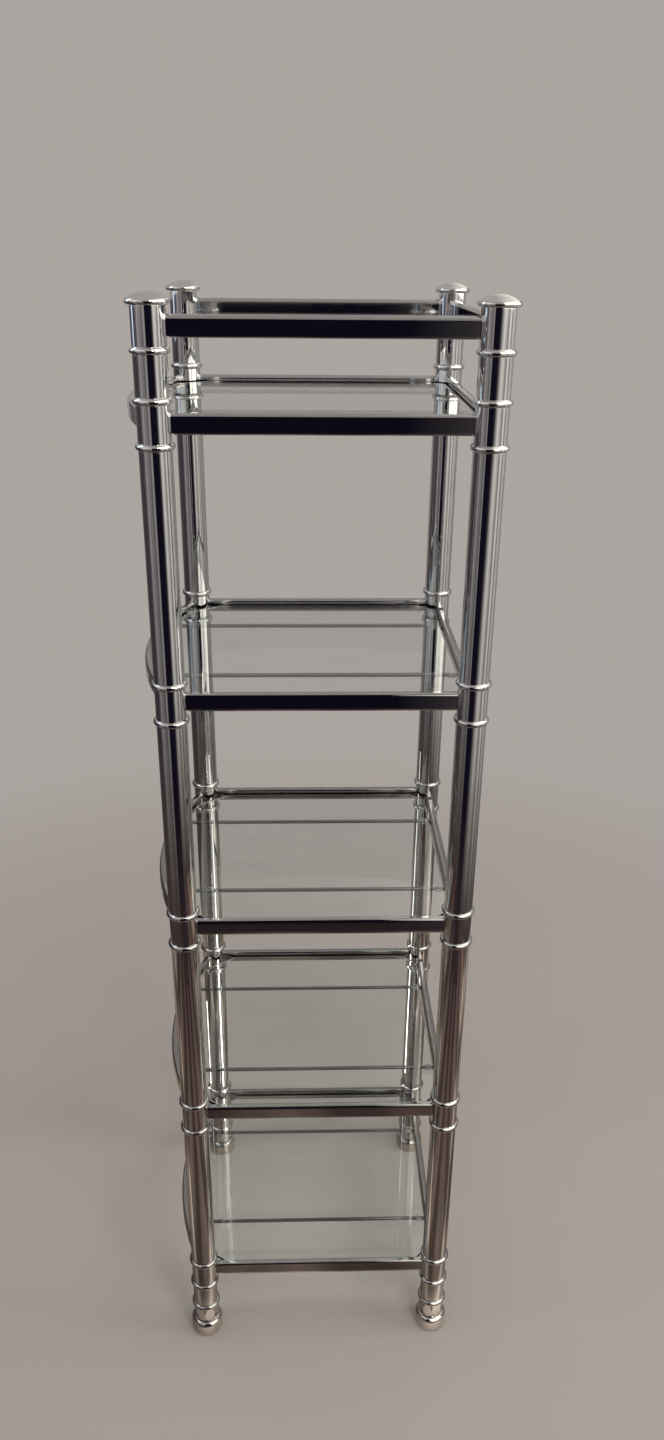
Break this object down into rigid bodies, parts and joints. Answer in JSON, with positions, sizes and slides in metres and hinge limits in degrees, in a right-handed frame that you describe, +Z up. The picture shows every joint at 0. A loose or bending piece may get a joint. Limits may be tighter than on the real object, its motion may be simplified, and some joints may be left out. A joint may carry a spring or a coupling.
{
  "type": "glass shelving unit",
  "caption": "Tall chrome tower with clear glass shelves bowed on one side, beaded round posts, a gallery rail round the top and levelling feet",
  "frame": {"origin": "on the floor under the middle of the whole outline, bow included", "axes": "+Z up; the bowed side faces -X and the straight side +X; -Y is the side seen from the front in the picture"},
  "size_m": [0.3748, 0.3542, 1.3332],
  "materials": {
    "chrome_post": "polished chrome plate",
    "chrome_cap": "polished chrome plate",
    "chrome_rail": "polished chrome plate",
    "chrome_rod": "chrome plate, slightly dull",
    "chrome_adjuster": "chrome plate",
    "chrome_foot": "chrome plate",
    "zinc_insert": "plain zinc plate",
    "clear_glass": "clear, polished edges"
  },
  "bodies": {
    "frame": {"post_fl": "chrome_post", "cap_fl": "chrome_cap", "insert_fl": "zinc_insert", "post_fr": "chrome_post", "cap_fr": "chrome_cap", "insert_fr": "zinc_insert", "post_bl": "chrome_post", "cap_bl": "chrome_cap", "insert_bl": "zinc_insert", "post_br": "chrome_post", "cap_br": "chrome_cap", "insert_br": "zinc_insert", "gallery_rail_front": "chrome_rail", "gallery_rail_back": "chrome_rail", "gallery_rail_right": "chrome_rail", "shelf1_rail_front": "chrome_rail", "shelf1_rail_back": "chrome_rail", "shelf1_rail_right": "chrome_rail", "shelf1_rail_bow": "chrome_rail", "shelf1_rod_front": "chrome_rod", "shelf1_rod_back": "chrome_rod", "shelf2_rail_front": "chrome_rail", "shelf2_rail_back": "chrome_rail", "shelf2_rail_right": "chrome_rail", "shelf2_rail_bow": "chrome_rail", "shelf2_rod_front": "chrome_rod", "shelf2_rod_back": "chrome_rod", "shelf3_rail_front": "chrome_rail", "shelf3_rail_back": "chrome_rail", "shelf3_rail_right": "chrome_rail", "shelf3_rail_bow": "chrome_rail", "shelf3_rod_front": "chrome_rod", "shelf3_rod_back": "chrome_rod", "shelf4_rail_front": "chrome_rail", "shelf4_rail_back": "chrome_rail", "shelf4_rail_right": "chrome_rail", "shelf4_rail_bow": "chrome_rail", "shelf4_rod_front": "chrome_rod", "shelf4_rod_back": "chrome_rod", "shelf5_rail_front": "chrome_rail", "shelf5_rail_back": "chrome_rail", "shelf5_rail_right": "chrome_rail", "shelf5_rail_bow": "chrome_rail", "shelf5_rod_front": "chrome_rod", "shelf5_rod_back": "chrome_rod"},
    "glass_shelf_1": {"shelf1_glass": "clear_glass"},
    "glass_shelf_2": {"shelf2_glass": "clear_glass"},
    "glass_shelf_3": {"shelf3_glass": "clear_glass"},
    "glass_shelf_4": {"shelf4_glass": "clear_glass"},
    "glass_shelf_5": {"shelf5_glass": "clear_glass"},
    "levelling_foot_fl": {"foot_fl": "chrome_foot"},
    "foot_adjuster_fl": {"adjuster_fl": "chrome_adjuster"},
    "levelling_foot_fr": {"foot_fr": "chrome_foot"},
    "foot_adjuster_fr": {"adjuster_fr": "chrome_adjuster"},
    "levelling_foot_bl": {"foot_bl": "chrome_foot"},
    "foot_adjuster_bl": {"adjuster_bl": "chrome_adjuster"},
    "levelling_foot_br": {"foot_br": "chrome_foot"},
    "foot_adjuster_br": {"adjuster_br": "chrome_adjuster"}
  },
  "joints": [
    {"name": "glass_1_lift", "type": "slide", "parent": "frame", "child": "glass_shelf_1", "axis": [0, 0, 1], "range_m": [0, 0.12]},
    {"name": "glass_2_lift", "type": "slide", "parent": "frame", "child": "glass_shelf_2", "axis": [0, 0, 1], "range_m": [0, 0.06]},
    {"name": "glass_3_lift", "type": "slide", "parent": "frame", "child": "glass_shelf_3", "axis": [0, 0, 1], "range_m": [0, 0.06]},
    {"name": "glass_4_lift", "type": "slide", "parent": "frame", "child": "glass_shelf_4", "axis": [0, 0, 1], "range_m": [0, 0.06]},
    {"name": "glass_5_lift", "type": "slide", "parent": "frame", "child": "glass_shelf_5", "axis": [0, 0, 1], "range_m": [0, 0.06]},
    {"name": "foot_fl_travel", "type": "slide", "parent": "frame", "child": "levelling_foot_fl", "axis": [0, 0, -1], "range_m": [0, 0.0075]},
    {"name": "foot_fl_turn", "type": "hinge", "parent": "levelling_foot_fl", "child": "foot_adjuster_fl", "pos_m": [-0.1437, -0.1566, 0.034], "axis": [0, 0, -1], "range_deg": [0, 2161]},
    {"name": "foot_fr_travel", "type": "slide", "parent": "frame", "child": "levelling_foot_fr", "axis": [0, 0, -1], "range_m": [0, 0.0075]},
    {"name": "foot_fr_turn", "type": "hinge", "parent": "levelling_foot_fr", "child": "foot_adjuster_fr", "pos_m": [0.1669, -0.1566, 0.034], "axis": [0, 0, -1], "range_deg": [0, 2161]},
    {"name": "foot_bl_travel", "type": "slide", "parent": "frame", "child": "levelling_foot_bl", "axis": [0, 0, -1], "range_m": [0, 0.0075]},
    {"name": "foot_bl_turn", "type": "hinge", "parent": "levelling_foot_bl", "child": "foot_adjuster_bl", "pos_m": [-0.1437, 0.1566, 0.034], "axis": [0, 0, -1], "range_deg": [0, 2161]},
    {"name": "foot_br_travel", "type": "slide", "parent": "frame", "child": "levelling_foot_br", "axis": [0, 0, -1], "range_m": [0, 0.0075]},
    {"name": "foot_br_turn", "type": "hinge", "parent": "levelling_foot_br", "child": "foot_adjuster_br", "pos_m": [0.1669, 0.1566, 0.034], "axis": [0, 0, -1], "range_deg": [0, 2161]}
  ],
  "couplings": [
    {"joint": "foot_fl_turn", "follows": "foot_fl_travel", "rad_per_m": 5026.5},
    {"joint": "foot_fr_turn", "follows": "foot_fr_travel", "rad_per_m": 5026.5},
    {"joint": "foot_bl_turn", "follows": "foot_bl_travel", "rad_per_m": 5026.5},
    {"joint": "foot_br_turn", "follows": "foot_br_travel", "rad_per_m": 5026.5}
  ]
}
